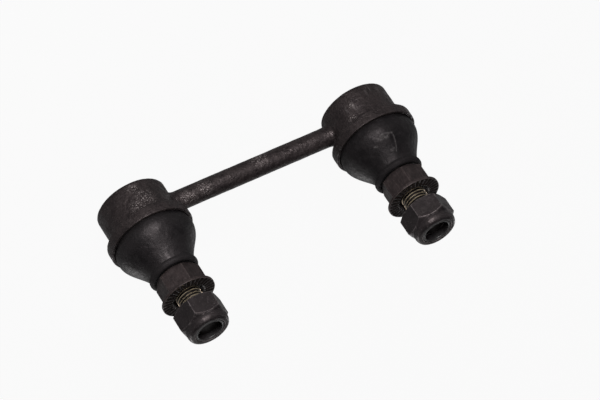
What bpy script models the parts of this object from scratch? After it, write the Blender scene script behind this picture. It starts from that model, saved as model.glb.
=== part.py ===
"""Stabilizer link: a forged bar with a ball joint at each end.

Lengths are in metres. The link stands on the closed ends of its two cups, its
bar runs along X and both studs point up. Heights are measured from the closed
ends, and the origin lies between the cups at that height.
"""

import math

import bmesh
import bpy

# Clearances
SEAT_GAP = 0.0003  # between pieces that touch or are held by one another
BALL_GAP = 0.00025  # grease film between the ball and its shells
THREAD_GAP = 0.0002  # thread crest to the bore of the nut and the nylon ring
NECK_CLEARANCE = 0.0008  # stud neck to the cup's mouth at full tilt
TILT_LIMIT = math.radians(20)

# Bar
STUD_CENTRES = 0.0950  # from stud axis to stud axis
BAR_RADIUS = 0.0040
BAR_HEIGHT = 0.0073  # axis of the bar above the closed ends
BAR_FLARE = 0.0015  # how much wider the bar is where it meets a cup
BAR_FLARE_LENGTH = 0.0045

# Ball stud
BALL_RADIUS = 0.0075
BALL_FLAT_DEPTH = 0.0057  # from the ball's centre down to its flat
NECK_RADIUS = 0.0039
NECK_LENGTH = 0.0055  # straight part above the ball
SEAT_RADIUS = 0.0068  # where the boot's neck sits
SEAT_LENGTH = 0.0052
HEX_ACROSS_FLATS = 0.0160
HEX_HEIGHT = 0.0087
HEX_CORE_RADIUS = 0.0076
COLLAR_RADIUS = 0.0107
COLLAR_THICKNESS = 0.0015
THREAD_RADIUS = 0.0049
THREAD_CHAMFER = 0.0008
SHANK_LENGTH = 0.0141  # from the collar to the stud's tip

# Bearing shells, spring and cover plate
SHELL_WALL = 0.00225  # at the ball's equator
SHELL_ABOVE_BALL = 0.0050
SHELL_BELOW_BALL = 0.0062
SHELL_EDGE = 0.0006
SHELL_HOLD = math.radians(3)  # the shell's mouth stops this far from the tilted neck
SPRING_INNER_RADIUS = 0.0055
SPRING_THICKNESS = 0.0005
SPRING_CONE = 0.0003
COVER_THICKNESS = 0.0010
COVER_SEAT = 0.0011  # ledge that the cover plate rests on
COVER_BOSS_RADIUS = 0.0052
COVER_BOSS_DROP = 0.0005
COVER_BOSS_SLOPE = 0.0007

# Cup
RIM_THICKNESS = 0.0009  # rim rolled over the cover plate
RIM_BORE = 0.0099
RIM_WALL = 0.0024  # outside the cover plate
CUP_EDGE = 0.0011
SHOULDER_THICKNESS = 0.0012  # between the upper shell and the boot's seat
FLANGE_WALL = 0.0012  # outside the boot's base
FLANGE_HEIGHT = 0.0041
FLANGE_FLARE = 0.0014
FLANGE_EDGE = 0.0004

# Boot with its base ring and neck sleeve
BOOT_BASE_RADIUS = 0.0154
BOOT_BASE_WALL = 0.0028
BOOT_BASE_DEPTH = 0.0017  # how deep the base sits in the flange
BOOT_WALL = 0.0015
BOOT_DOME_HEIGHT = 0.0154  # from the flange's face to the neck
BOOT_SHOULDER = (0.0019, 0.0060)  # handle out and up from the base
BOOT_WAIST = (0.0017, 0.0059)  # handle out and down from the neck
BOOT_NECK_WALL = 0.0011
BOOT_NECK_LENGTH = 0.0005
BOOT_BEAD = 0.0006  # how far the lip stands out from the neck
BOOT_BEAD_HEIGHT = 0.0023
BOOT_BEAD_EDGE = 0.0004
BASE_RING_WALL = 0.0012
BASE_RING_HEIGHT = 0.0015
SLEEVE_WALL = 0.0008
SLEEVE_HEIGHT = 0.0030

# Lock nut and nylon ring
NUT_ACROSS_FLATS = 0.0170
NUT_HEX_HEIGHT = 0.0089
NUT_WASHER_FACE = 0.0081  # radius of the flat bearing face
NUT_TOP_FACE = 0.0086  # radius where the flats end under the crown
CHAMFER_SLOPE = math.radians(30)
CROWN_RADIUS = 0.0084
CROWN_HEIGHT = 0.0028
CROWN_ROUND = 0.0012
CROWN_SINK = 0.0015  # how deep the crown's ring starts inside the hexagon
CROWN_LIP_BORE = 0.0060
CROWN_LIP = 0.0006
NYLON_WALL = 0.0018
NYLON_HEIGHT = 0.0020

# Where each nut stands on its thread, and how its hexagons are turned
SIDES = {
    "left": {"x": -STUD_CENTRES / 2, "standoff": 0.0046, "nut_turn": 55, "hex_turn": 21},
    "right": {"x": STUD_CENTRES / 2, "standoff": 0.0052, "nut_turn": 8, "hex_turn": 37},
}

OUTER_STEPS = 32  # facets around the pieces that show
INNER_STEPS = 24  # facets around the pieces inside the cup
CUTTER_RUN = 0.0010  # how far a cutter or envelope passes the faces it works on

# Heights in the cup, from the closed end up
COVER_BOTTOM = RIM_THICKNESS + SEAT_GAP
COVER_TOP = COVER_BOTTOM + COVER_THICKNESS
SPRING_BOTTOM = COVER_TOP + SEAT_GAP
SHELL_BOTTOM = SPRING_BOTTOM + SPRING_THICKNESS + SPRING_CONE + SEAT_GAP
BALL_HEIGHT = SHELL_BOTTOM + SHELL_BELOW_BALL
SHELL_TOP = BALL_HEIGHT + SHELL_ABOVE_BALL
SHOULDER_BOTTOM = SHELL_TOP + SEAT_GAP
BOOT_FLOOR = SHOULDER_BOTTOM + SHOULDER_THICKNESS
CUP_HEIGHT = BOOT_FLOOR + BOOT_BASE_DEPTH

# Heights above the cup
NECK_TOP = CUP_HEIGHT + BOOT_DOME_HEIGHT
BEAD_BOTTOM = NECK_TOP + BOOT_NECK_LENGTH
BOOT_TOP = BEAD_BOTTOM + BOOT_BEAD_HEIGHT
HEX_BOTTOM = BOOT_TOP + SEAT_GAP
COLLAR_BOTTOM = HEX_BOTTOM + HEX_HEIGHT
COLLAR_TOP = COLLAR_BOTTOM + COLLAR_THICKNESS
STUD_TIP = COLLAR_TOP + SHANK_LENGTH

# Radii that follow from what fits in what
CAVITY_RADIUS = BALL_RADIUS + BALL_GAP
SHELL_RADIUS = CAVITY_RADIUS + SHELL_WALL
CUP_BORE = SHELL_RADIUS + SEAT_GAP
COVER_RADIUS = CUP_BORE + COVER_SEAT
COVER_BORE = COVER_RADIUS + SEAT_GAP
CUP_RADIUS = COVER_BORE + RIM_WALL
BOOT_SEAT_BORE = BOOT_BASE_RADIUS + SEAT_GAP
FLANGE_RADIUS = BOOT_SEAT_BORE + FLANGE_WALL
SLEEVE_BORE = SEAT_RADIUS + SEAT_GAP
SLEEVE_RADIUS = SLEEVE_BORE + SLEEVE_WALL
BOOT_NECK_BORE = SLEEVE_RADIUS + SEAT_GAP
BOOT_NECK_RADIUS = BOOT_NECK_BORE + BOOT_NECK_WALL
BASE_RING_RADIUS = BOOT_BASE_RADIUS - BOOT_BASE_WALL - SEAT_GAP
NUT_BORE = THREAD_RADIUS + THREAD_GAP
NYLON_RADIUS = NUT_BORE + NYLON_WALL


def new_collection(name):
    collection = bpy.data.collections.new(name)
    bpy.context.scene.collection.children.link(collection)
    return collection


def new_material(name, colour, roughness, metallic):
    material = bpy.data.materials.new(name)
    material.use_nodes = True
    shader = material.node_tree.nodes["Principled BSDF"]
    shader.inputs["Base Color"].default_value = (*colour, 1.0)
    shader.inputs["Roughness"].default_value = roughness
    shader.inputs["Metallic"].default_value = metallic
    material.diffuse_color = (*colour, 1.0)
    return material


def new_object(name, mesh, collection, material=None):
    obj = bpy.data.objects.new(name, mesh)
    collection.objects.link(obj)
    if material:
        mesh.materials.append(material)
    return obj


def arc(centre, radius, start, end, steps):
    """Points on a circle about a height on the axis; angles run from straight up."""
    points = []
    for step in range(steps + 1):
        angle = start + (end - start) * step / steps
        points.append((radius * math.sin(angle), centre + radius * math.cos(angle)))
    return points


def hollow_corner(near, far, steps):
    """A concave quarter ellipse, along the axis at its near point and square to it at its far one."""
    (radius, height), (far_radius, far_height) = near, far
    points = []
    for step in range(steps + 1):
        angle = math.pi / 2 * step / steps
        points.append(
            (
                radius + (far_radius - radius) * (1 - math.cos(angle)),
                height + (far_height - height) * math.sin(angle),
            )
        )
    return points


def round_corner(start, end, steps):
    """A convex quarter ellipse, along the axis at its start and square to it at its end."""
    (radius, height), (end_radius, end_height) = start, end
    points = []
    for step in range(steps + 1):
        angle = math.pi / 2 * step / steps
        points.append(
            (
                end_radius + (radius - end_radius) * math.cos(angle),
                height + (end_height - height) * math.sin(angle),
            )
        )
    return points


def bezier(a, b, c, d, steps):
    points = []
    for step in range(steps + 1):
        t = step / steps
        weights = ((1 - t) ** 3, 3 * t * (1 - t) ** 2, 3 * t * t * (1 - t), t**3)
        radius = sum(w * p[0] for w, p in zip(weights, (a, b, c, d)))
        height = sum(w * p[1] for w, p in zip(weights, (a, b, c, d)))
        points.append((radius, height))
    return points


def turned(name, profile, collection, material=None, steps=OUTER_STEPS):
    """Turn a profile of (radius, height) points about Z.

    The profile runs down its outer side. One that starts and ends on the axis
    makes a solid, and any other is closed into a ring.
    """
    edges = [(i, i + 1) for i in range(len(profile) - 1)]
    if profile[0][0] > 0:
        edges.append((len(profile) - 1, 0))
    mesh = bpy.data.meshes.new(name)
    mesh.from_pydata([(radius, 0, height) for radius, height in profile], edges, [])
    obj = new_object(name, mesh, collection, material)
    screw = obj.modifiers.new("turn", "SCREW")
    screw.axis = "Z"
    screw.angle = math.tau
    screw.steps = screw.render_steps = steps
    screw.use_merge_vertices = True
    screw.merge_threshold = 0.00001
    return obj


def hexagon(name, across_flats, bottom, top, corner_degrees, collection, material=None):
    """An upright hexagonal prism with one corner at the given angle from +X."""
    mesh = bpy.data.meshes.new(name)
    cage = bmesh.new()
    corner_radius = across_flats / math.sqrt(3)
    bmesh.ops.create_cone(
        cage,
        cap_ends=True,
        segments=6,
        radius1=corner_radius,
        radius2=corner_radius,
        depth=top - bottom,
    )
    bmesh.ops.translate(cage, verts=cage.verts, vec=(0, 0, (top + bottom) / 2))
    first = cage.verts[:][0].co
    turn = math.radians(corner_degrees) - math.atan2(first.y, first.x)
    cos, sin = math.cos(turn), math.sin(turn)
    for vert in cage.verts:
        x, y = vert.co.x, vert.co.y
        vert.co.x = x * cos - y * sin
        vert.co.y = x * sin + y * cos
    cage.to_mesh(mesh)
    cage.free()
    return new_object(name, mesh, collection, material)


def combine(obj, operation, other):
    boolean = obj.modifiers.new(operation.lower() + "_" + other.name, "BOOLEAN")
    boolean.operation = operation
    boolean.solver = "EXACT"
    boolean.object = other


def as_helper(obj):
    obj.hide_render = True
    obj.display_type = "WIRE"
    return obj


def smooth(obj):
    obj.data.shade_smooth()
    obj.data.set_sharp_from_angle(angle=math.radians(30))


def tilted_neck_reach(height):
    """How far from the stud's rest axis its neck reaches at full tilt, with its clearance."""
    above_ball = height - BALL_HEIGHT
    neck = NECK_RADIUS / math.cos(TILT_LIMIT)
    return above_ball * math.tan(TILT_LIMIT) + neck + NECK_CLEARANCE


def cup_profile():
    lip_bottom = CUP_HEIGHT - FLANGE_HEIGHT
    flare_bottom = lip_bottom - FLANGE_FLARE
    outside = [(FLANGE_RADIUS - FLANGE_EDGE, CUP_HEIGHT), (FLANGE_RADIUS, CUP_HEIGHT - FLANGE_EDGE)]
    outside.append((FLANGE_RADIUS, lip_bottom + FLANGE_EDGE))
    flare = hollow_corner((CUP_RADIUS, flare_bottom), (FLANGE_RADIUS - FLANGE_EDGE, lip_bottom), 3)
    outside += reversed(flare)
    outside += round_corner((CUP_RADIUS, CUP_EDGE), (CUP_RADIUS - CUP_EDGE, 0), 3)
    cover_ledge = COVER_TOP + SEAT_GAP
    inside = [
        (RIM_BORE, 0),
        (RIM_BORE, RIM_THICKNESS),
        (COVER_BORE, RIM_THICKNESS),
        (COVER_BORE, cover_ledge),
        (CUP_BORE, cover_ledge),
        (CUP_BORE, SHOULDER_BOTTOM),
        (tilted_neck_reach(SHOULDER_BOTTOM), SHOULDER_BOTTOM),
        (tilted_neck_reach(BOOT_FLOOR), BOOT_FLOOR),
        (BOOT_SEAT_BORE, BOOT_FLOOR),
        (BOOT_SEAT_BORE, CUP_HEIGHT),
    ]
    return outside + inside


def bar_profile():
    """The bar along its own axis, from one cup's wall to the other's."""
    buried = COVER_BORE + (CUP_RADIUS - COVER_BORE) / 4
    end = STUD_CENTRES / 2 - buried
    surface = STUD_CENTRES / 2 - CUP_RADIUS
    wide = BAR_RADIUS + BAR_FLARE
    flare = hollow_corner((BAR_RADIUS, surface - BAR_FLARE_LENGTH), (wide, surface), 4)
    half = [(0, end), (wide, end), *reversed(flare)]
    return half + [(radius, -along) for radius, along in reversed(half)]


def stud_profile():
    ball_neck = math.asin(NECK_RADIUS / BALL_RADIUS)
    ball_flat = math.acos(-BALL_FLAT_DEPTH / BALL_RADIUS)
    neck_bottom = BALL_HEIGHT + BALL_RADIUS * math.cos(ball_neck)
    points = [(0, STUD_TIP), (THREAD_RADIUS - THREAD_CHAMFER, STUD_TIP)]
    points += [
        (THREAD_RADIUS, STUD_TIP - THREAD_CHAMFER),
        (THREAD_RADIUS, COLLAR_TOP),
        (COLLAR_RADIUS, COLLAR_TOP),
        (COLLAR_RADIUS, COLLAR_BOTTOM),
        (HEX_CORE_RADIUS, COLLAR_BOTTOM),
        (HEX_CORE_RADIUS, HEX_BOTTOM + SEAT_GAP),
        (SEAT_RADIUS, HEX_BOTTOM),
        (SEAT_RADIUS, HEX_BOTTOM - SEAT_LENGTH),
        (NECK_RADIUS, neck_bottom + NECK_LENGTH),
    ]
    points += arc(BALL_HEIGHT, BALL_RADIUS, ball_neck, ball_flat, 9)
    points.append((0, BALL_HEIGHT - BALL_FLAT_DEPTH))
    return points


def upper_shell_profile():
    mouth = math.asin(NECK_RADIUS / BALL_RADIUS) + TILT_LIMIT + SHELL_HOLD
    parting = BALL_HEIGHT + SEAT_GAP / 2
    equator = math.acos(SEAT_GAP / 2 / CAVITY_RADIUS)
    outside = [
        (SHELL_RADIUS - SHELL_EDGE, SHELL_TOP),
        (SHELL_RADIUS, SHELL_TOP - SHELL_EDGE),
        (SHELL_RADIUS, parting),
    ]
    inside = arc(BALL_HEIGHT, CAVITY_RADIUS, equator, mouth, 4)
    return outside + inside + [(tilted_neck_reach(SHELL_TOP), SHELL_TOP)]


def lower_shell_profile():
    parting = BALL_HEIGHT - SEAT_GAP / 2
    equator = math.acos(-SEAT_GAP / 2 / CAVITY_RADIUS)
    drain = math.acos(-SHELL_BELOW_BALL / CAVITY_RADIUS)
    outside = [
        (SHELL_RADIUS, parting),
        (SHELL_RADIUS, SHELL_BOTTOM + SHELL_EDGE),
        (SHELL_RADIUS - SHELL_EDGE, SHELL_BOTTOM),
    ]
    return outside + arc(BALL_HEIGHT, CAVITY_RADIUS, drain, equator, 5)


def spring_profile():
    outer_radius = SHELL_RADIUS - SEAT_GAP
    return [
        (outer_radius, SPRING_BOTTOM + SPRING_THICKNESS),
        (outer_radius, SPRING_BOTTOM),
        (SPRING_INNER_RADIUS, SPRING_BOTTOM + SPRING_CONE),
        (SPRING_INNER_RADIUS, SPRING_BOTTOM + SPRING_CONE + SPRING_THICKNESS),
    ]


def cover_profile():
    slope_out = COVER_BOSS_RADIUS + COVER_BOSS_SLOPE
    return [
        (0, COVER_TOP - COVER_BOSS_DROP),
        (COVER_BOSS_RADIUS, COVER_TOP - COVER_BOSS_DROP),
        (slope_out, COVER_TOP),
        (COVER_RADIUS, COVER_TOP),
        (COVER_RADIUS, COVER_BOTTOM),
        (slope_out, COVER_BOTTOM),
        (COVER_BOSS_RADIUS, COVER_BOTTOM - COVER_BOSS_DROP),
        (0, COVER_BOTTOM - COVER_BOSS_DROP),
    ]


def boot_profile():
    shoulder_out, shoulder_up = BOOT_SHOULDER
    waist_out, waist_down = BOOT_WAIST

    def dome(wall, neck_radius, bottom):
        base = (BOOT_BASE_RADIUS - wall, bottom)
        neck = (neck_radius, NECK_TOP)
        return bezier(
            base,
            (base[0] + shoulder_out, CUP_HEIGHT + shoulder_up),
            (BOOT_NECK_RADIUS - wall + waist_out, NECK_TOP - waist_down),
            neck,
            7,
        )

    bead = BOOT_NECK_RADIUS + BOOT_BEAD
    base_bottom = BOOT_FLOOR + SEAT_GAP
    base_inner = BOOT_BASE_RADIUS - BOOT_BASE_WALL
    outside = [
        (bead - BOOT_BEAD_EDGE, BOOT_TOP),
        (bead, BOOT_TOP - BOOT_BEAD_EDGE),
        (bead, BEAD_BOTTOM + BOOT_BEAD_EDGE),
        (BOOT_NECK_RADIUS, BEAD_BOTTOM),
        *reversed(dome(0, BOOT_NECK_RADIUS, CUP_HEIGHT)),
        (BOOT_BASE_RADIUS, base_bottom),
    ]
    inside = [
        (base_inner, base_bottom),
        (base_inner, CUP_HEIGHT),
        *dome(BOOT_WALL, BOOT_NECK_BORE, CUP_HEIGHT + BOOT_WALL),
        (BOOT_NECK_BORE, BOOT_TOP),
    ]
    return outside + inside


def ring_profile(inner, outer, bottom, top):
    return [(outer, top), (outer, bottom), (inner, bottom), (inner, top)]


def chamfer_envelope(across_flats, bottom, top, bottom_face, top_face):
    """A turned solid that cuts a hexagon's corners back to round faces at its ends."""
    reach = across_flats / math.sqrt(3) + CUTTER_RUN
    slope = math.tan(CHAMFER_SLOPE)
    points = [(0, top + CUTTER_RUN)]
    if top_face:
        points += [(top_face, top + CUTTER_RUN), (top_face, top)]
        points.append((reach, top - (reach - top_face) * slope))
    else:
        points.append((reach, top + CUTTER_RUN))
    points.append((reach, bottom + (reach - bottom_face) * slope))
    points += [(bottom_face, bottom), (bottom_face, bottom - CUTTER_RUN), (0, bottom - CUTTER_RUN)]
    return points


def crown_profile(nut_top):
    crown_top = nut_top + CROWN_HEIGHT
    rounded = round_corner(
        (CROWN_RADIUS, crown_top - CROWN_ROUND), (CROWN_RADIUS - CROWN_ROUND, crown_top), 3
    )
    sunk = nut_top - CROWN_SINK
    return [(0, crown_top), *reversed(rounded), (CROWN_RADIUS, sunk), (0, sunk)]


def nut_bore_profile(nut_bottom, nut_top):
    """Plain bore, nylon ring's groove and crown lip, as one cutter."""
    crown_top = nut_top + CROWN_HEIGHT
    groove_top = crown_top - CROWN_LIP
    groove_bottom = groove_top - NYLON_HEIGHT - 2 * SEAT_GAP
    groove = NYLON_RADIUS + SEAT_GAP
    return [
        (0, crown_top + CUTTER_RUN),
        (CROWN_LIP_BORE, crown_top + CUTTER_RUN),
        (CROWN_LIP_BORE, groove_top),
        (groove, groove_top),
        (groove, groove_bottom),
        (NUT_BORE, groove_bottom),
        (NUT_BORE, nut_bottom - CUTTER_RUN),
        (0, nut_bottom - CUTTER_RUN),
    ]


def add_forged_link(parts, helpers, material):
    """One steel forging: the bar and both cups."""
    link = turned("forged_link", bar_profile(), parts, material)
    link.rotation_euler = (0, math.pi / 2, 0)
    link.location = (0, 0, BAR_HEIGHT)
    for side, place in SIDES.items():
        cup = as_helper(turned(side + "_cup", cup_profile(), helpers))
        cup.location = (place["x"], 0, 0)
        combine(link, "UNION", cup)


def add_stud(side, place, parts, helpers, material):
    stud = turned(side + "_ball_stud", stud_profile(), parts, material)
    hex_top = COLLAR_BOTTOM + COLLAR_THICKNESS / 2
    hexed = as_helper(
        hexagon(side + "_stud_hexagon", HEX_ACROSS_FLATS, HEX_BOTTOM, hex_top, place["hex_turn"], helpers)
    )
    envelope = chamfer_envelope(HEX_ACROSS_FLATS, HEX_BOTTOM, hex_top, HEX_ACROSS_FLATS / 2, None)
    corners = as_helper(turned(side + "_stud_corners", envelope, helpers))
    combine(hexed, "INTERSECT", corners)
    combine(stud, "UNION", hexed)
    return stud, [hexed, corners]


def add_nut(side, place, parts, helpers, material):
    bottom = COLLAR_TOP + place["standoff"]
    top = bottom + NUT_HEX_HEIGHT
    nut = hexagon(
        side + "_lock_nut", NUT_ACROSS_FLATS, bottom, top, place["nut_turn"], parts, material
    )
    envelope = chamfer_envelope(NUT_ACROSS_FLATS, bottom, top, NUT_WASHER_FACE, NUT_TOP_FACE)
    corners = as_helper(turned(side + "_nut_corners", envelope, helpers))
    crown = as_helper(turned(side + "_nut_crown", crown_profile(top), helpers))
    bore = as_helper(turned(side + "_nut_bore", nut_bore_profile(bottom, top), helpers))
    combine(nut, "INTERSECT", corners)
    combine(nut, "UNION", crown)
    combine(nut, "DIFFERENCE", bore)
    return nut, [corners, crown, bore]


def nylon_profile(place):
    crown_top = COLLAR_TOP + place["standoff"] + NUT_HEX_HEIGHT + CROWN_HEIGHT
    nylon_top = crown_top - CROWN_LIP - SEAT_GAP
    return ring_profile(NUT_BORE, NYLON_RADIUS, nylon_top - NYLON_HEIGHT, nylon_top)


def add_joint(side, place, parts, helpers, materials):
    """Everything at one end of the bar, except the forged cup."""
    axis = (place["x"], 0, 0)
    fixed = [
        turned(side + "_lower_bearing_shell", lower_shell_profile(), parts, materials["shell"], INNER_STEPS),
        turned(side + "_upper_bearing_shell", upper_shell_profile(), parts, materials["shell"], INNER_STEPS),
        turned(side + "_preload_spring", spring_profile(), parts, materials["spring"], INNER_STEPS),
        turned(side + "_cover_plate", cover_profile(), parts, materials["cover"]),
    ]
    base_bottom = BOOT_FLOOR + SEAT_GAP
    base_ring = ring_profile(
        BASE_RING_RADIUS - BASE_RING_WALL, BASE_RING_RADIUS, base_bottom, base_bottom + BASE_RING_HEIGHT
    )
    fixed += [
        turned(side + "_dust_boot", boot_profile(), parts, materials["boot"]),
        turned(side + "_boot_base_ring", base_ring, parts, materials["ring"]),
    ]
    for obj in fixed:
        obj.location = axis

    # The stud and what it carries swing about the ball's centre
    ball_centre = bpy.data.objects.new(side + "_ball_centre", None)
    ball_centre.empty_display_size = BALL_RADIUS
    ball_centre.location = (place["x"], 0, BALL_HEIGHT)
    parts.objects.link(ball_centre)
    sleeve_top = BOOT_TOP - SEAT_GAP
    sleeve = ring_profile(SLEEVE_BORE, SLEEVE_RADIUS, sleeve_top - SLEEVE_HEIGHT, sleeve_top)
    stud, stud_helpers = add_stud(side, place, parts, helpers, materials["stud"])
    nut, nut_helpers = add_nut(side, place, parts, helpers, materials["nut"])
    swinging = [
        turned(side + "_boot_neck_sleeve", sleeve, parts, materials["shell"]),
        turned(side + "_nylon_ring", nylon_profile(place), parts, materials["nylon"], INNER_STEPS),
        stud,
        nut,
        *stud_helpers,
        *nut_helpers,
    ]
    for obj in swinging:
        obj.parent = ball_centre
        obj.location = (0, 0, -BALL_HEIGHT)


def main():
    for obj in list(bpy.data.objects):
        bpy.data.objects.remove(obj)
    parts = new_collection("stabilizer_link")
    helpers = new_collection("helpers")
    materials = {
        "forging": new_material("coated_forged_steel", (0.030, 0.027, 0.025), 0.48, 0.7),
        "stud": new_material("phosphated_steel", (0.060, 0.050, 0.044), 0.55, 0.8),
        "nut": new_material("blackened_nut_steel", (0.045, 0.044, 0.046), 0.42, 0.8),
        "boot": new_material("black_rubber", (0.022, 0.021, 0.022), 0.62, 0.0),
        "nylon": new_material("dark_nylon", (0.055, 0.055, 0.058), 0.40, 0.0),
        "shell": new_material("acetal_resin", (0.80, 0.78, 0.70), 0.45, 0.0),
        "spring": new_material("spring_steel", (0.32, 0.31, 0.30), 0.35, 1.0),
        "ring": new_material("zinc_plated_ring", (0.55, 0.55, 0.53), 0.35, 1.0),
        "cover": new_material("coated_cover_steel", (0.035, 0.032, 0.030), 0.50, 0.7),
    }
    add_forged_link(parts, helpers, materials["forging"])
    for side, place in SIDES.items():
        add_joint(side, place, parts, helpers, materials)
    bpy.context.view_layer.update()
    for obj in parts.objects:
        if obj.type == "MESH":
            smooth(obj)


main()
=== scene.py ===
"""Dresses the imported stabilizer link: a forged bar with a ball joint at each end.

Heights and radii in the shape functions are in millimetres. Heights are
measured from the closed ends of the cups, on which the link stands.
"""

import math

import bmesh
import bpy
from mathutils import Matrix, Vector, noise


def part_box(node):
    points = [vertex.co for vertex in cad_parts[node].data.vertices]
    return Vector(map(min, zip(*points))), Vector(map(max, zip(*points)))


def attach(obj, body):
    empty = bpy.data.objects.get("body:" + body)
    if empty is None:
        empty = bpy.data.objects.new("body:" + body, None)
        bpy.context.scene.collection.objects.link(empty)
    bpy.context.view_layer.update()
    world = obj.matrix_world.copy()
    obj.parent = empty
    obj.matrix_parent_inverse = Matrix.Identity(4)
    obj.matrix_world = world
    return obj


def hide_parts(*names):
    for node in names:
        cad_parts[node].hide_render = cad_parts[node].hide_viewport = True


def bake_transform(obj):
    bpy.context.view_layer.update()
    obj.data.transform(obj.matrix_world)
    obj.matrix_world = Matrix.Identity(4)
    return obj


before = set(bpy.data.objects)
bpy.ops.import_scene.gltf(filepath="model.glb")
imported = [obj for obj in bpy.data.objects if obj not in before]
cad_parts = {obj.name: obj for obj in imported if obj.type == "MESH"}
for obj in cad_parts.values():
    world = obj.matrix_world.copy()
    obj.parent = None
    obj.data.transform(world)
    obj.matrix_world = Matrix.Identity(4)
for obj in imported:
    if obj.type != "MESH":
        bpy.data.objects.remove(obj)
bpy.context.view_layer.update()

MM = 0.001
STUD_X = 47.5  # from the middle of the bar to each stud's axis

# Marks on the right boot, each with its width, its height above the rubber and its course in
# degrees round the axis and height. The first two are a crease pinched by the mould and by
# packing, and the others are places that have rubbed pale.
RIGHT_CREASES = (
    (0.45, 0.06, ((103, 24.5), (98, 24.3), (93, 24.5), (88, 24.7), (83, 25.0))),
    (0.34, 0.06, ((83, 25.0), (81.7, 26.2), (82, 27.3), (83, 29.3), (86.5, 30.8))),
    (0.8, 0.0, ((99, 25.2), (95, 25.7), (91, 25.4))),
    (0.7, 0.0, ((108, 25.0), (104, 25.6), (100, 25.3))),
    (0.5, 0.0, ((96, 29.8), (92, 30.1), (89, 29.6))),
    (0.5, 0.0, ((119, 26.4), (115, 26.8))),
)
# At each end: the stud's place along the bar, how far the nut and the stud's hexagon are turned in
# degrees, what bends the boot's dome, how finely the boot is turned, and the marks on it
SIDES = {
    "left": {
        "x": -STUD_X,
        "nut_turn": 55,
        "hex_turn": 21,
        "dome": ((17.3, 24.0), (11.0, 27.5)),
        "boot_steps": 180,
        "creases": (),
    },
    "right": {
        "x": STUD_X,
        "nut_turn": 8,
        "hex_turn": 37,
        "dome": ((17.0, 24.4), (10.4, 28.2)),
        "boot_steps": 360,
        "creases": RIGHT_CREASES,
    },
}

# Forged link
CUP_RADIUS = 14.1
CUP_EDGE = 1.1
CUP_TOP = 18.0
CUP_BORE = 10.3
RIM_BORE = 9.9  # inside the rim that is rolled over the cover plate
FLANGE_RADIUS = 16.9
FLANGE_BORE = 15.7
LIP_BOTTOM = 13.9
BAR_HEIGHT = 7.3
BAR_RADIUS = 4.0
FILLET_FOOT = 4.75  # where the bar's fillet meets the cup's wall, from the bar's axis
FILLET_LENGTH = 3.4
# The window that is opened in the cup's wall for the bar: degrees to each side, and heights
WINDOW_ANGLE = 24
WINDOW_BOTTOM, WINDOW_TOP = 1.8, 11.9
OUTER_SKIN = 0.3  # a face this close to the cup's radius is its outside
BAR_START = 20.0  # from the cup's axis to where the bar's rings are evenly spaced
BAR_STEPS = 56
CUP_REACH = 18.0  # from the stud's axis, the end of what counts as the cup's skin
MACHINED_INSIDE = 0.4  # this far inside the cup's wall the skin is machined, not forged
CLOSED_END = 0.3  # below this height it is forged all the same
# The forged skin's unevenness: size across and height
BROAD_WAVE = (6.0, 0.05)
NARROW_WAVE = (2.3, 0.03)
FLANGE_WAVE = 0.05  # added to the narrow wave's height on the flange
FLANGE_RISE = 2  # how far outside the cup's wall it has its full height
PITS = (1.3, 0.09)
PIT_SHARE = 0.12  # where the noise is above minus this, there is no pit
PIT_SHIFT = (9, 2, 5)  # so that the pits don't follow the waves
SKIN_DROP = 0.05  # keeps the uneven skin inside the solid

# Dust boot
BOOT_BASE = 18.0
BEAD_FOOT = (9.15, 33.55)
BOOT_INNER_TOP = (8.2, 33.4)
HELD_RADIUS = 9  # the rubber inside this is held by the sleeve
SOFT_BOTTOM, SOFT_TOP = 18, 34  # the free rubber between the flange and the bead
SOFT_EASE = 3  # from each end of it to where the wave has its full height
RUBBER_WAVE = (7.0, 0.16)  # size across and height

# Stud
PITCH = 1.25
CREST = 4.9
ROOT = 4.22
BALL_CENTRE = 9.8
BALL_RADIUS = 7.5
BALL_FLAT = -5.7  # the flat under the ball, from its centre
NECK_RADIUS = 3.9
SEAT_RADIUS = 6.8  # what turns in the boot's sleeve
HEX_BOTTOM = 36.5
STUD_APOTHEM = 8.0
STUD_CHAMFER_RADIUS = 7.9
COLLAR_BOTTOM = 45.2
COLLAR_TOP = 46.7
COLLAR_RADIUS = 10.7
RECESS = 2.1  # depth of the hollow round the thread in the collar's face
TEETH = 32
TOOTH_SHAPE = (0.0, 0.25, 0.85, 1.0, 0.85, 0.25)  # share of the depth across one tooth
STUD_TIP = 60.8
TIP_CHAMFER = 0.8
RUN_OUT = 0.8  # how fast the thread grows from its root at the collar
THREAD_STEPS = 64
# The part of the collar's face, towards the nut, that is darkened as painted shade
SHADED_RADII = (4.5, 10.55)
HOLLOW_RADIUS = 6.9
TOOTH_TOPS = 0.5  # outside the hollow, only down to this depth

# Nut
NUT_APOTHEM = 8.5
NUT_CHAMFER_RADIUS = 8.1
NUT_CROWN_CHAMFER_RADIUS = 8.5
HEX_HEIGHT = 8.4
CROWN_HEIGHT = 3.3
CROWN_FOOT = 8.36
CROWN_RADIUS = 8.4
LIP_BORE = 6.0
NUT_BORE = 5.1
NUT_THREAD_DEPTH = 0.66
NUT_THREAD_LEAD = 0.5  # over this length the thread fades at each end of the bore
NUT_BORE_ROWS = 84
NUT_BORE_MOUTH = 5.65
NYLON_RADIUS = 6.9
CHAMFER = math.tan(math.radians(30))
CROWN_CHAMFER = math.tan(math.radians(40))
NO_CHAMFER = 99


# ---- Shapes

CORNER_HANDLE = 0.56  # makes an eased corner close to a quarter circle
# A point just outside each end of a rounding keeps the flat beside it flat. Both are in roundings:
# where it lies, and how long the flat has to be.
GUARD_POINT, GUARD_ROOM = 1.35, 2.8
MERGE = 1e-5
SHARP_ANGLE = 38
THREAD_SHARP_ANGLE = 50


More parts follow.
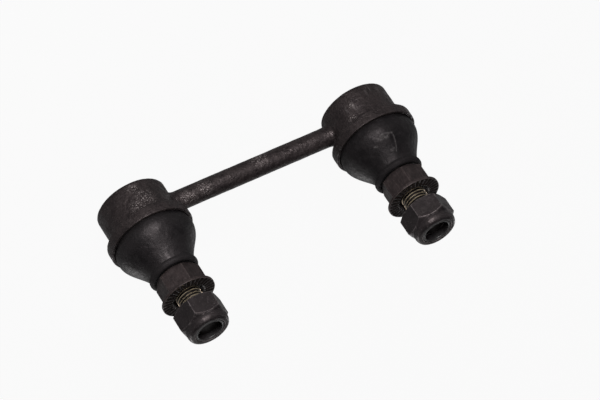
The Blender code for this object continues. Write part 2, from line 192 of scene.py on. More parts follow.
def rounded(corners, steps=5, closed=True):
    """Points of an outline whose corners (radius, height, rounding) are eased by their rounding."""
    points = []
    count = len(corners)
    for i, corner in enumerate(corners):
        here = Vector(corner[:2])
        ease = corner[2] if len(corner) > 2 else 0
        if not ease or (not closed and i in (0, count - 1)):
            points.append(here)
            continue
        arms = []
        for other in (corners[i - 1], corners[(i + 1) % count]):
            arm = Vector(other[:2]) - here
            arms.append((arm.normalized(), arm.length))
        (back, back_length), (ahead, ahead_length) = arms
        ease = min(ease, back_length / 2, ahead_length / 2)
        start, end = here + back * ease, here + ahead * ease
        leave, arrive = start.lerp(here, CORNER_HANDLE), end.lerp(here, CORNER_HANDLE)
        if back_length > ease * GUARD_ROOM:
            points.append(here + back * ease * GUARD_POINT)
        points.extend(bezier(start, leave, arrive, end, steps))
        if ahead_length > ease * GUARD_ROOM:
            points.append(here + ahead * ease * GUARD_POINT)
    return points


def bezier(a, b, c, d, steps):
    a, b, c, d = map(Vector, (a, b, c, d))
    points = []
    for step in range(steps + 1):
        t = step / steps
        s = 1 - t
        points.append(a * s**3 + b * (3 * s * s * t) + c * (3 * s * t * t) + d * t**3)
    return points


def turned(outline, steps=96, closed=True):
    """Turns an outline of (radius, height) about the upright axis."""
    bm = bmesh.new()
    verts = [bm.verts.new((max(r, 0), 0, z)) for r, z in outline]
    edges = [bm.edges.new(pair) for pair in zip(verts, verts[1:])]
    if closed:
        edges.append(bm.edges.new((verts[-1], verts[0])))
    bmesh.ops.spin(
        bm,
        geom=verts + edges,
        cent=(0, 0, 0),
        axis=(0, 0, 1),
        dvec=(0, 0, 0),
        angle=math.tau,
        steps=steps,
        use_merge=True,
    )
    bmesh.ops.remove_doubles(bm, verts=bm.verts[:], dist=MERGE)
    bmesh.ops.recalc_face_normals(bm, faces=bm.faces[:])
    return bm


def skin(rings):
    """A closed skin drawn through rings of equal counts, the last of which joins the first."""
    count, rows = len(rings[0]), len(rings)
    bm = bmesh.new()
    bmesh.ops.create_grid(bm, x_segments=count, y_segments=rows, size=1)
    for vert in bm.verts:
        step = round((vert.co.x + 1) / 2 * count) % count
        row = round((vert.co.y + 1) / 2 * rows) % rows
        vert.co = rings[row][step]
    bmesh.ops.remove_doubles(bm, verts=bm.verts[:], dist=MERGE)
    bmesh.ops.recalc_face_normals(bm, faces=bm.faces[:])
    return bm


def hexagon_steps():
    """Angles from a corner to the next, closest together where the corner is rounded."""
    half = [0, 0.5, 1.03, 1.9, 3.6, 6.5, 10.5, 15, 20, 25]
    side = half + [30] + [60 - a for a in reversed(half[1:])]
    return [math.radians(corner * 60 + a) for corner in range(6) for a in side]


def hexagon_radius(apothem, angle, ease=0.28):
    """How far a hexagon with rounded corners reaches at an angle from one of its corners."""
    off = math.radians(abs((math.degrees(angle) + 30) % 60 - 30))
    centre = (apothem - ease) / math.cos(math.pi / 6)
    tangent = math.atan2(ease / 2, centre + ease * math.cos(math.pi / 6))
    if off < tangent:
        return centre * math.cos(off) + math.sqrt(ease**2 - (centre * math.sin(off)) ** 2)
    return apothem / math.cos(math.pi / 6 - off)


def hexagon_ring(angles, hexagon, inset, height, chamfer_radius=NO_CHAMFER, slope=CHAMFER):
    """A ring on a hexagon, moved along the axis where a chamfer cuts its corners."""
    ring = []
    for a, r in zip(angles, hexagon):
        r -= inset
        z = height + max(0, r - chamfer_radius) * slope
        ring.append(Vector((r * math.cos(a), r * math.sin(a), z)))
    return ring


def round_ring(angles, radius, height):
    return [Vector((radius * math.cos(a), radius * math.sin(a), height)) for a in angles]


def rings_between(first, last, shares):
    return [[a.lerp(b, share) for a, b in zip(first, last)] for share in shares]


def wear_attribute(bm, low=0.5, high=2.5):
    """Writes to each point how sharply the surface curves outwards there, from 0 to 1.

    Low and high are the curves that count as 0 and 1, in one over millimetres.
    """
    layer = bm.verts.layers.float.new("edge_wear")
    for vert in bm.verts:
        bend = 0
        for edge in vert.link_edges:
            if len(edge.link_faces) == 2:
                bend += edge.calc_face_angle_signed(0) * edge.calc_length() / 2
        area = sum(face.calc_area() / len(face.verts) for face in vert.link_faces)
        curve = bend / max(area, 1e-6) / 2
        vert[layer] = min(max((curve - low) / (high - low), 0), 1)


def turn_to(bm, degrees):
    bmesh.ops.rotate(
        bm,
        verts=bm.verts[:],
        cent=(0, 0, 0),
        matrix=Matrix.Rotation(math.radians(degrees), 3, "Z"),
    )


def piece(name, bm, x, material, sharp=SHARP_ANGLE):
    """Makes the object of a mesh drawn in millimetres round the axis at x."""
    wear_attribute(bm)
    bmesh.ops.translate(bm, verts=bm.verts[:], vec=(x, 0, 0))
    bmesh.ops.scale(bm, verts=bm.verts[:], vec=(MM, MM, MM))
    mesh = bpy.data.meshes.new(name)
    bm.to_mesh(mesh)
    bm.free()
    mesh.shade_smooth()
    mesh.set_sharp_from_angle(angle=math.radians(sharp))
    mesh.materials.append(material)
    obj = bpy.data.objects.new(name, mesh)
    bpy.context.scene.collection.objects.link(obj)
    return obj


def cup_outline():
    """From the rolled rim up the outside, over the flange and down the inside."""
    wall = [(CUP_RADIUS, 2.05 + 0.57 * i) for i in range(18)]
    flare = bezier((CUP_RADIUS, 12.0), (CUP_RADIUS, 13.4), (15.3, 13.5), (16.1, 13.75), 9)
    lip = [(FLANGE_RADIUS, LIP_BOTTOM + 0.55 * i) for i in range(2, 7)]
    return rounded(
        [
            (RIM_BORE, 0.9, 0.1),
            (RIM_BORE, 0, 0.25),
            (12.0, 0),
            (CUP_RADIUS, 0, CUP_EDGE),
            *wall,
            *flare,
            (FLANGE_RADIUS, LIP_BOTTOM, 0.6),
            *lip,
            (FLANGE_RADIUS, CUP_TOP, 0.7),
            (FLANGE_BORE, CUP_TOP, 0.12),
            (FLANGE_BORE, 16.3),
            (7.32, 16.3, 0.3),
            (6.88, 15.1, 0.2),
            (CUP_BORE, 15.1),
            (CUP_BORE, 2.5, 0.2),
            (11.7, 2.5),
            (11.7, 0.9),
        ]
    )


def cut_window(bm):
    """Opens the cup's wall where the bar leaves it."""
    window = []
    for face in bm.faces:
        middle = face.calc_center_median()
        if (
            abs(math.atan2(middle.y, middle.x)) < math.radians(WINDOW_ANGLE)
            and WINDOW_BOTTOM < middle.z < WINDOW_TOP
            and math.hypot(middle.x, middle.y) > CUP_RADIUS - OUTER_SKIN
        ):
            window.append(face)
    bmesh.ops.delete(bm, geom=window, context="FACES")


def forged_link():
    """One cup with the bar drawn out of its wall to mid length, then mirrored."""
    bm = turned(cup_outline(), 180)
    cut_window(bm)
    turn = bm.verts.layers.float.new("turn")
    reach = bm.verts.layers.float.new("reach")
    ring = [e for e in bm.edges if e.is_boundary]
    for vert in {v for e in ring for v in e.verts}:
        vert[turn] = math.atan2(vert.co.z - BAR_HEIGHT, vert.co.y)
        vert[reach] = math.hypot(vert.co.z - BAR_HEIGHT, vert.co.y)

    def on_wall(y, z):
        return Vector((math.sqrt(CUP_RADIUS**2 - y * y), y, z))

    # Rings from the window to the round foot of the fillet, along it and down the bar
    fillet = bezier(
        (FILLET_FOOT, 0), (4.2, 0.1), (BAR_RADIUS, 0.9), (BAR_RADIUS, FILLET_LENGTH), 10
    )[1:]
    stations = [("wall", 0.5), ("wall", 1.0)]
    stations += [("fillet", point) for point in fillet]
    stations += [("blend", t) for t in (0.35, 0.7)]
    stations += [("bar", i / BAR_STEPS) for i in range(BAR_STEPS + 1)]
    for kind, value in stations:
        made = bmesh.ops.extrude_edge_only(bm, edges=ring)["geom"]
        verts = {v for v in made if isinstance(v, bmesh.types.BMVert)}
        edges = [e for e in made if isinstance(e, bmesh.types.BMEdge)]
        ring = [e for e in edges if e.verts[0] in verts and e.verts[1] in verts]
        for vert in verts:
            across, up = math.cos(vert[turn]), math.sin(vert[turn])
            if kind == "wall":
                radius = vert[reach] * (1 - value) + FILLET_FOOT * value
            else:
                radius = value[0] if kind == "fillet" else BAR_RADIUS
            vert.co = on_wall(radius * across, BAR_HEIGHT + radius * up)
            if kind == "fillet":
                vert.co.x += value[1]
            elif kind == "blend":
                vert.co.x += FILLET_LENGTH
                vert.co.x += (BAR_START - vert.co.x) * value
            elif kind == "bar":
                vert.co.x = BAR_START + (STUD_X - BAR_START) * value
    bmesh.ops.translate(bm, verts=bm.verts[:], vec=(-STUD_X, 0, 0))
    whole = bm.verts[:] + bm.edges[:] + bm.faces[:]
    bmesh.ops.mirror(bm, geom=whole, axis="X", merge_dist=1e-4)
    bmesh.ops.remove_doubles(bm, verts=bm.verts[:], dist=1e-4)
    bmesh.ops.recalc_face_normals(bm, faces=bm.faces[:])
    return bm


def forge_unevenness(bm):
    """The die leaves a wavy, pitted skin, roughest on the flange; the seats inside are machined."""
    for vert in bm.verts:
        side = -STUD_X if vert.co.x < 0 else STUD_X
        radius = math.hypot(vert.co.x - side, vert.co.y)
        inside = radius < CUP_RADIUS - MACHINED_INSIDE and vert.co.z > CLOSED_END
        if inside and abs(vert.co.x) > STUD_X - CUP_RADIUS:
            continue
        at_cup = abs(vert.co.x) > STUD_X - CUP_REACH
        lip = min(max((radius - CUP_RADIUS) / FLANGE_RISE, 0), 1) if at_cup else 0
        wave = noise.noise(vert.co / BROAD_WAVE[0]) * BROAD_WAVE[1]
        wave += noise.noise(vert.co / NARROW_WAVE[0]) * (NARROW_WAVE[1] + FLANGE_WAVE * lip)
        pits = noise.noise(vert.co / PITS[0] + Vector(PIT_SHIFT)) + PIT_SHARE
        vert.co += vert.normal * (wave + min(pits, 0) * PITS[1] - SKIN_DROP)


def cover_plate():
    """The pressed plate in the rolled rim, raised in the middle round a small dimple."""
    outline = rounded(
        [
            (0, 1.7),
            (5.2, 1.7, 0.3),
            (5.9, 2.2, 0.3),
            (11.4, 2.2, 0.2),
            (11.4, 1.2, 0.2),
            (5.9, 1.2, 0.4),
            (5.2, 0.7, 0.3),
            (1.4, 0.7, 0.2),
            (1.1, 0.85, 0.2),
            (0, 0.85),
        ],
        closed=False,
    )
    return turned(outline, closed=False)


def dust_boot(place):
    """Base in the flange, dome, neck groove and the bead round the sleeve."""
    dome = bezier((15.4, BOOT_BASE), *place["dome"], BEAD_FOOT, 60)
    under = bezier((13.9, 19.5), (15.7, 24.0), (9.4, 27.6), BOOT_INNER_TOP, 30)
    bead = rounded(
        [
            BEAD_FOOT,
            (9.2, 33.95, 0.15),
            (9.85, 34.15, 0.2),
            (9.9, 35.1, 0.35),
            (9.5, 35.75, 0.3),
            (9.0, 36.2, 0.3),
            (8.2, 36.2, 0.25),
            BOOT_INNER_TOP,
        ],
        closed=False,
    )
    base = rounded(
        [(12.6, 18.4), (12.6, 16.6, 0.2), (15.4, 16.6, 0.2), (15.4, 17.6)],
        closed=False,
    )
    bm = turned(base + dome + bead[1:-1] + under[::-1], place["boot_steps"])
    rub = bm.verts.layers.float.new("rubbed")
    wave_size, wave_height = RUBBER_WAVE
    for vert in bm.verts:
        height = vert.co.z
        held = math.hypot(vert.co.x, vert.co.y) <= HELD_RADIUS
        if held or not SOFT_BOTTOM < height < SOFT_TOP:
            continue
        # Moulded rubber is never quite true
        soft = min((height - SOFT_BOTTOM) / SOFT_EASE, (SOFT_TOP - height) / SOFT_EASE, 1)
        wave = noise.noise(vert.co / wave_size + Vector((place["x"], 0, 0)))
        vert.co += vert.normal * wave * wave_height * soft
        for width, lift, path in place["creases"]:
            off = distance_to_path(vert.co, path)
            share = max(0, 1 - off / width)
            vert[rub] = max(vert[rub], share)
            vert.co += vert.normal * lift * share * share
    return bm


def distance_to_path(point, path):
    """Over a turned surface, from a point to a course of (degrees round the axis, height)."""
    radius = math.hypot(point.x, point.y)
    here = Vector((math.atan2(point.y, point.x) * radius, point.z))
    course = [Vector((math.radians(angle) * radius, height)) for angle, height in path]
    nearest = math.inf
    for first, second in zip(course, course[1:]):
        arm = second - first
        t = min(max((here - first).dot(arm) / arm.length_squared, 0), 1)
        nearest = min(nearest, (first + arm * t - here).length)
    return nearest


def stud_body():
    """Ball, neck, seat, wrench hexagon and serrated collar, closed at the collar's face."""
    count = TEETH * len(TOOTH_SHAPE)
    angles = [math.tau * i / count for i in range(count)]
    hexagon = [hexagon_radius(STUD_APOTHEM, a) for a in angles]
    rings = []

    def turned_rings(points):
        rings.extend(round_ring(angles, r, z) for r, z in points)

    low, high = math.acos(BALL_FLAT / BALL_RADIUS), math.asin(NECK_RADIUS / BALL_RADIUS)
    turned_rings([(0.01, BALL_CENTRE + BALL_FLAT), (2.0, BALL_CENTRE + BALL_FLAT)])
    for i in range(19):
        a = low + (high - low) * i / 18
        turned_rings([(BALL_RADIUS * math.sin(a), BALL_CENTRE + BALL_RADIUS * math.cos(a))])
    neck = [
        (NECK_RADIUS, 16.3),
        (NECK_RADIUS, 21.7, 2.0),
        (SEAT_RADIUS, 31.3, 0.8),
        (SEAT_RADIUS, HEX_BOTTOM, 0.25),
        (7.7, HEX_BOTTOM),
    ]
    turned_rings(rounded(neck, closed=False))

    # The hexagon's lower corners are chamfered
    for inset, lift in ((0.25, 0.04), (0.08, 0.13), (0.0, 0.32)):
        low_edge = hexagon_ring(angles, hexagon, inset, HEX_BOTTOM + lift, STUD_CHAMFER_RADIUS)
        rings.append(low_edge)
    high_edge = [Vector((v.x, v.y, COLLAR_BOTTOM - 0.45)) for v in low_edge]
    rings.extend(rings_between(low_edge, high_edge, [i / 8 for i in range(1, 9)]))

    # It runs out into the collar over a small fillet
    rings.append(hexagon_ring(angles, hexagon, -0.05, COLLAR_BOTTOM - 0.2))
    rings.append(hexagon_ring(angles, hexagon, -0.18, COLLAR_BOTTOM - 0.04))
    turned_rings(
        [
            (9.75, COLLAR_BOTTOM),
            (10.2, COLLAR_BOTTOM + 0.03),
            (10.5, COLLAR_BOTTOM + 0.14),
            (10.66, COLLAR_BOTTOM + 0.32),
            (COLLAR_RADIUS, COLLAR_BOTTOM + 0.6),
            (COLLAR_RADIUS, COLLAR_TOP - 0.4),
            (10.66, COLLAR_TOP - 0.22),
        ]
    )

    # The face towards the nut has radial teeth: radius, drop of their tops and depth
    for radius, drop, depth in (
        (10.52, 0.06, 0.1),
        (10.3, 0, 0.3),
        (9.6, 0, 0.42),
        (8.6, 0, 0.4),
        (7.5, 0, 0.34),
        (6.8, 0.03, 0.2),
    ):
        ring = []
        for i, a in enumerate(angles):
            z = COLLAR_TOP - drop - depth * TOOTH_SHAPE[i % len(TOOTH_SHAPE)]
            ring.append(Vector((radius * math.cos(a), radius * math.sin(a), z)))
        rings.append(ring)

    # Inside them is the hollow round the thread: radius and depth
    core = ROOT - 0.12
    hollow = [(6.5, 0.3), (6.1, 1.1), (5.7, 1.8), (5.3, RECESS), (core, RECESS), (core, -0.3)]
    turned_rings((r, COLLAR_TOP - depth) for r, depth in hollow + [(0.01, -0.3)])
    return skin(rings)


def shade_in_hollow(bm):
    """Marks the hollow round the thread and the tops of the teeth, which face the nut, for painted
    shade.
    """
    painted_shade = bm.verts.layers.float.new("hollow_shade")
    for vert in bm.verts:
        radius = math.hypot(vert.co.x, vert.co.y)
        reached = SHADED_RADII[0] < radius < SHADED_RADII[1]
        depth = RECESS + 0.1 if radius < HOLLOW_RADIUS else TOOTH_TOPS
        vert[painted_shade] = float(reached and vert.co.z > COLLAR_TOP - depth)


def thread_profile():
    half = [(0, ROOT), (0.12, ROOT), (0.2, ROOT + 0.06), (0.5, CREST - 0.07), (0.555, CREST)]
    full = half + [(PITCH / 2, CREST)]
    full += [(PITCH - z, r) for z, r in reversed(half)]
    return full


def stud_thread():
    """A rolled right-hand thread: one pitch of its profile spun up the shank, cut at both ends."""
    low, high = COLLAR_TOP - RECESS - 0.1, STUD_TIP
    turns = math.ceil((high - low) / PITCH) + 2
    bm = bmesh.new()
    verts = [bm.verts.new((r, 0, low - PITCH + z)) for z, r in thread_profile()]
    edges = [bm.edges.new(pair) for pair in zip(verts, verts[1:])]
    bmesh.ops.spin(
        bm,
        geom=verts + edges,
        cent=(0, 0, 0),
        axis=(0, 0, 1),
        dvec=(0, 0, PITCH / THREAD_STEPS),
        angle=math.tau * turns,
        steps=THREAD_STEPS * turns,
    )
    bmesh.ops.remove_doubles(bm, verts=bm.verts[:], dist=1e-3)
    for height, keep in ((low, "above"), (high, "below")):
        bmesh.ops.bisect_plane(
            bm,
            geom=bm.verts[:] + bm.edges[:] + bm.faces[:],
            plane_co=(0, 0, height),
            plane_no=(0, 0, 1),
            clear_inner=keep == "above",
            clear_outer=keep == "below",
        )
    # The shank is chamfered at its tip, and the thread runs out at the collar
    for vert in bm.verts:
        radius = math.hypot(vert.co.x, vert.co.y)
        limit = CREST - TIP_CHAMFER + (STUD_TIP - vert.co.z)
        run_out = ROOT + max(0, vert.co.z - low) * RUN_OUT
        target = min(radius, max(limit, 0.1), max(run_out, ROOT))
        vert.co.x *= target / radius
        vert.co.y *= target / radius
    bmesh.ops.holes_fill(bm, edges=[e for e in bm.edges if e.is_boundary], sides=0)
    bmesh.ops.recalc_face_normals(bm, faces=bm.faces[:])
    return bm


def height_in_thread(bm):
    """Writes how high each point lies on the thread, from 0 in the root to 1 on the crest."""
    height = bm.verts.layers.float.new("thread_height")
    for vert in bm.verts:
        vert[height] = (math.hypot(vert.co.x, vert.co.y) - ROOT) / (CREST - ROOT)


def lock_nut(bottom):
    """Chamfered hexagon, rolled crown, the groove round the nylon ring, and a tapped bore."""
    angles = hexagon_steps()
    hexagon = [hexagon_radius(NUT_APOTHEM, a) for a in angles]
    top = bottom + HEX_HEIGHT
    crown = top + CROWN_HEIGHT
    rings = []

    def turned_rings(points):
        rings.extend(round_ring(angles, r, z) for r, z in points)

    def low_ring(inset, height):
        return hexagon_ring(angles, hexagon, inset, height, NUT_CHAMFER_RADIUS)

    def high_ring(inset, height):
        return hexagon_ring(
            angles, hexagon, inset, height, NUT_CROWN_CHAMFER_RADIUS, -CROWN_CHAMFER
        )

    # Bearing face and lower chamfer
    bearing_edge = (NUT_CHAMFER_RADIUS, bottom + 0.03)
    turned_rings([(5.9, bottom), (7.0, bottom), (7.9, bottom), bearing_edge])
    low_edge, high_edge = low_ring(0, bottom + 0.16), high_ring(0, top - 0.30)
    rings.append(low_ring(0.16, bottom + 0.05))
    rings.append(low_edge)
    shares = (0.012, 0.04, 0.12, 0.25, 0.4, 0.55, 0.7, 0.85, 0.95, 0.985)
    rings.extend(rings_between(low_edge, high_edge, shares))
    rings.append(high_edge)

    # The upper chamfer eases over and swells into the rolled crown
    rings.append(high_ring(0.1, top - 0.16))
    shoulder = high_ring(0.3, top - 0.04)
    foot = round_ring(angles, CROWN_FOOT, top + 0.12)
    rings.extend(rings_between(shoulder, foot, (0.0, 0.3, 0.65, 1.0)))
    crown_outline = [
        (CROWN_FOOT, top + 0.12),
        (CROWN_RADIUS, top + 0.7, 0.3),
        (CROWN_RADIUS - 0.05, crown - 1.5, 0.7),
        (7.8, crown - 0.3, 0.6),
        (7.0, crown, 0.3),
        (6.5, crown),
        (LIP_BORE, crown - 0.05, 0.3),
        (LIP_BORE, crown - 0.6, 0.15),
        (7.2, crown - 0.6, 0.1),
        (7.2, crown - 3.2, 0.2),
        (5.75, crown - 3.2),
    ]
    turned_rings(rounded(crown_outline, closed=False)[1:])

    # Tapped bore: a right-hand groove cut outwards from the plain bore
    first, last = crown - 3.35, bottom + 0.45
    for row in range(NUT_BORE_ROWS + 1):
        z = first + (last - first) * row / NUT_BORE_ROWS
        ring = []
        for a in angles:
            phase = ((z / PITCH) - a / math.tau) % 1
            groove = min(max((abs(phase - 0.5) * 2 - 0.2) / 0.65, 0), 1)
            to_ends = max(0, (first - z) / NUT_THREAD_LEAD), max(0, (z - last) / NUT_THREAD_LEAD)
            r = NUT_BORE + NUT_THREAD_DEPTH * groove * min(1, *to_ends)
            if row in (0, NUT_BORE_ROWS):
                r = NUT_BORE_MOUTH
            ring.append(Vector((r * math.cos(a), r * math.sin(a), z)))
        rings.append(ring)
    return skin(rings)


def nylon_ring(crown):
    """The ring under the crown's lip, swelling up into the lip's bore."""
    top = crown - 0.9
    outline = [
        (NUT_BORE, top - 2.0, 0.2),
        (NYLON_RADIUS, top - 2.0, 0.2),
        (NYLON_RADIUS, top, 0.25),
        (LIP_BORE - 0.12, top + 0.05, 0.1),
        (LIP_BORE - 0.15, crown - 0.22, 0.2),
        (NUT_BORE - 0.14, crown - 0.2, 0.3),
        (NUT_BORE - 0.12, top - 0.3, 0.2),
    ]
    return turned(rounded(outline))


# ---- Finishes

# The Mix node has sockets of the same names for numbers and for colours, so they go by place
NUMBER_A, NUMBER_B, NUMBER_RESULT = 2, 3, 0
COLOUR_A, COLOUR_B, COLOUR_RESULT = 6, 7, 2


def linear(code):
    """An sRGB hex colour as the linear colour that the shader takes."""
    channels = []
    for i in (0, 2, 4):
        c = int(code[i : i + 2], 16) / 255
        channels.append(c / 12.92 if c <= 0.04045 else ((c + 0.055) / 1.055) ** 2.4)
    return (*channels, 1.0)


def add_node(tree, kind, inputs=None, **settings):
    """Adds a node. Each of its inputs is given a value or linked to an output of another node."""
    node = tree.nodes.new("ShaderNode" + kind)
    for name, value in settings.items():
        setattr(node, name, value)
    for socket, value in (inputs or {}).items():
        if isinstance(value, bpy.types.NodeSocket):
            tree.links.new(value, node.inputs[socket])
        else:
            node.inputs[socket].default_value = value
    return node


def new_material(name):
    """A material, its nodes, its shader, and the place on the object, which is in metres."""
    material = bpy.data.materials.new(name)
    material.use_nodes = True
    tree = material.node_tree
    shader = tree.nodes["Principled BSDF"]
    where = add_node(tree, "TexCoord").outputs["Object"]
    return material, tree, shader, where


def patches(tree, where, size, fine, band, levels=(0.0, 1.0), within=None):
    """Ragged patches about `size` millimetres across.

    `fine` is how many finer sizes they hold and how strongly, `band` where in the noise a patch
    begins and is full, and `levels` the value outside it and in it. They can be kept within
    another mask.
    """
    lumpy = add_node(
        tree,
        "TexNoise",
        {"Vector": where, "Scale": 1 / (size * MM), "Detail": fine[0], "Roughness": fine[1]},
    )
    patch = add_node(
        tree,
        "MapRange",
        {
            "Value": lumpy.outputs["Fac"],
            "From Min": band[0],
            "From Max": band[1],
            "To Min": levels[0],
            "To Max": levels[1],
        },
        interpolation_type="SMOOTHSTEP",
    ).outputs["Result"]
    if within is not None:
        patch = add_node(tree, "Math", {0: within, 1: patch}, operation="MULTIPLY").outputs[0]
    return patch


def mottled(tree, where, dark, light, size, small, small_share):
    """Two colours in soft clouds of one size, with smaller clouds in them."""
    clouds = patches(tree, where, size, (3.0, 0.55), (0.36, 0.64))
    specks = patches(tree, where, small, (4.0, 0.65), (0.34, 0.66))
    both = add_node(tree, "Mix", {"Factor": small_share, NUMBER_A: clouds, NUMBER_B: specks})
    return coats(tree, linear(dark), ((both.outputs[NUMBER_RESULT], light),))


def coats(tree, colour, layers):
    """Lays colours over a colour, each where its mask is high."""
    for mask, code in layers:
        inputs = {"Factor": mask, COLOUR_A: colour, COLOUR_B: linear(code)}
        colour = add_node(tree, "Mix", inputs, data_type="RGBA").outputs[COLOUR_RESULT]
    return colour


def near_spots(tree, where, spots):
    """High close to any of some spots (x, y, z, radius in mm) that handling has rubbed."""
    total = None
    for x, y, z, radius in spots:
        spot = {0: where, 1: (x * MM, y * MM, z * MM)}
        off = add_node(tree, "VectorMath", spot, operation="DISTANCE")
        edge, full = radius * MM, radius * MM * 0.15
        close = add_node(
            tree,
            "MapRange",
            {"Value": off.outputs["Value"], "From Min": edge, "From Max": full},
            interpolation_type="SMOOTHSTEP",
        ).outputs["Result"]
        if total is not None:
            close = add_node(tree, "Math", {0: total, 1: close}, operation="MAXIMUM").outputs[0]
        total = close
    return total


def colour_and_metal(tree, shader, colour, mask, most):
    """Gives the shader its colour, and makes it metal where the mask says that it is bare."""
    tree.links.new(colour, shader.inputs["Base Color"])
    metal = add_node(tree, "MapRange", {"Value": mask, "To Min": 0.0, "To Max": most})
    tree.links.new(metal.outputs["Result"], shader.inputs["Metallic"])


def patchy_gloss(tree, shader, where, size, low, high):
    """Roughness in sharp patches, so that a highlight breaks up."""
    rough = patches(tree, where, size, (5.0, 0.65), (0.40, 0.60), (low, high))
    tree.links.new(rough, shader.inputs["Roughness"])


def dull_gloss(shader, level, tint="FFECEC"):
    """Weak gloss, with the faint red cast that the dark finishes of this part have."""
    shader.inputs["Specular IOR Level"].default_value = level
    shader.inputs["Specular Tint"].default_value = linear(tint)


def lumps(tree, shader, where, sizes):
    """Bump of several sizes: (millimetres across, millimetres high).

    The height is for the noise's whole range, of which the lumps take up about a third.
    """
    normal = None
    for size, height in sizes:
        lumpy = add_node(
            tree,
            "TexNoise",
            {"Vector": where, "Scale": 1 / (size * MM), "Detail": 3.0, "Roughness": 0.6},
        )
        inputs = {"Height": lumpy.outputs["Fac"], "Strength": 1.0, "Distance": height * MM}
        if normal is not None:
            inputs["Normal"] = normal
        normal = add_node(tree, "Bump", inputs).outputs["Normal"]
    tree.links.new(normal, shader.inputs["Normal"])


def coated_forging():
    """Dip coat on shot-blasted forged steel.

    It gives a matte brown black with a mottled, pitted skin, and pinheads of bare grey steel where
    the coat has rubbed. The dents of the shot, about 0.4 mm across, are drawn at 0.9 mm, so that
    they show.
    """
    material, tree, shader, where = new_material("coated_forged_steel")
    corners = add_node(tree, "Attribute", attribute_name="edge_wear").outputs["Fac"]
    edges = patches(tree, where, 1.0, (4.0, 0.7), (0.40, 0.62), within=corners)
    rubbed = near_spots(tree, where, RUBBED_SPOTS)
    smears = patches(tree, where, 1.4, (5.0, 0.75), (0.46, 0.66), within=rubbed)
    pinheads = patches(tree, where, 0.42, (3.0, 0.7), (0.57, 0.66), within=rubbed)
    strays = patches(tree, where, 0.42, (3.0, 0.7), (0.70, 0.78), (0.0, 0.35))
    specks = {0: pinheads, 1: strays}
    bare = add_node(tree, "Math", specks, operation="MAXIMUM", use_clamp=True).outputs[0]
    drawn = add_node(tree, "Mapping", {"Vector": where, "Scale": (1.0, 1.0, 0.14)})
    dragged = near_spots(tree, where, DRAGGED_SPOTS)
    drags = patches(
        tree, drawn.outputs["Vector"], 0.9, (4.0, 0.6), (0.52, 0.66), within=dragged
    )
    coat = mottled(tree, where, "0F0C0D", "272222", 5.0, 0.9, 0.6)
    layers = ((smears, "443E3E"), (drags, "4A4545"), (edges, "262121"), (bare, "A39A98"))
    colour_and_metal(tree, shader, coats(tree, coat, layers), bare, 0.5)
    patchy_gloss(tree, shader, where, 2.6, 0.34, 0.60)
    dull_gloss(shader, 0.28)
    lumps(tree, shader, where, ((3.0, 0.45), (0.9, 0.20)))
    return material


def phosphated_steel():
    """Manganese phosphate on turned steel.

    It gives a dull brown with fine streaks along the stud, pale lines where corners have rubbed,
    and painted shade: the hollow round the thread and the collar's teeth, which face the nut, are
    darkened. Its crystals, a hundredth of a millimetre across, are too fine to show, so its specks
    are drawn at 0.8 mm.
    """
    material, tree, shader, where = new_material("phosphated_steel")
    along = add_node(tree, "Mapping", {"Vector": where, "Scale": (1.0, 1.0, 0.12)})
    streaks = patches(
        tree, along.outputs["Vector"], 0.45, (3.0, 0.6), (0.52, 0.68), (0.0, 0.5)
    )
    corners = add_node(tree, "Attribute", attribute_name="edge_wear").outputs["Fac"]
    edges = patches(tree, where, 0.9, (4.0, 0.7), (0.36, 0.62), (0.1, 0.9), corners)
    # Painted shade: the hollow and the teeth of the collar, which face the nut, are darkened
    hollow_shade = add_node(tree, "Attribute", attribute_name="hollow_shade").outputs["Fac"]
    painted_shade = patches(tree, where, 1.2, (4.0, 0.6), (0.3, 0.6), (0.2, 0.8), hollow_shade)
    phosphate = mottled(tree, where, "100C0C", "221C1C", 3.5, 0.8, 0.5)
    layers = ((streaks, "3A3231"), (edges, "5E5452"), (painted_shade, "110F0E"))
    colour_and_metal(tree, shader, coats(tree, phosphate, layers), edges, 0.7)
    patchy_gloss(tree, shader, where, 2.0, 0.42, 0.58)
    dull_gloss(shader, 0.30)
    lumps(tree, shader, where, ((2.0, 0.16), (0.7, 0.06)))
    return material


def thread_steel():
    """Rolled steel thread.

    It gives crests rubbed to a pale champagne metal, and a brown black on the flanks and in the
    roots.
    """
    material, tree, shader, where = new_material("rolled_thread_steel")
    height = add_node(tree, "Attribute", attribute_name="thread_height").outputs["Fac"]
    crest = add_node(
        tree,
        "MapRange",
        {"Value": height, "From Min": 0.55, "From Max": 0.95},
        interpolation_type="SMOOTHSTEP",
    ).outputs["Result"]
    bare = patches(tree, where, 1.4, (4.0, 0.6), (0.32, 0.60), (0.35, 1.0), crest)
    colour = coats(tree, linear("0A0807"), ((bare, "CDBDA2"),))
    colour_and_metal(tree, shader, colour, bare, 1.0)
    rough = add_node(tree, "MapRange", {"Value": bare, "To Min": 0.55, "To Max": 0.24})
    tree.links.new(rough.outputs["Result"], shader.inputs["Roughness"])
    dull_gloss(shader, 0.2)
    return material


def blackened_nut_steel():
    """Black oxide on cold-formed steel.

    It gives a smooth grey black with a faint warm cast, soft cloudy gloss, and thin pale lines on
    the corners and the crown's edge.
    """
    material, tree, shader, where = new_material("black_oxide_steel")
    corners = add_node(tree, "Attribute", attribute_name="edge_wear").outputs["Fac"]
    edges = patches(tree, where, 1.6, (4.0, 0.7), (0.36, 0.62), (0.1, 1.0), corners)
    nicks = patches(tree, where, 0.5, (2.0, 0.5), (0.67, 0.74), (0.0, 0.5))
    worn = {0: edges, 1: nicks}
    bare = add_node(tree, "Math", worn, operation="MAXIMUM", use_clamp=True).outputs[0]
    oxide = mottled(tree, where, "121011", "1E1B1C", 4.0, 1.0, 0.45)
    colour_and_metal(tree, shader, coats(tree, oxide, ((bare, "766E6F"),)), bare, 0.6)
    patchy_gloss(tree, shader, where, 2.2, 0.36, 0.50)
    dull_gloss(shader, 0.28)
    lumps(tree, shader, where, ((2.6, 0.18), (0.8, 0.05)))
    return material


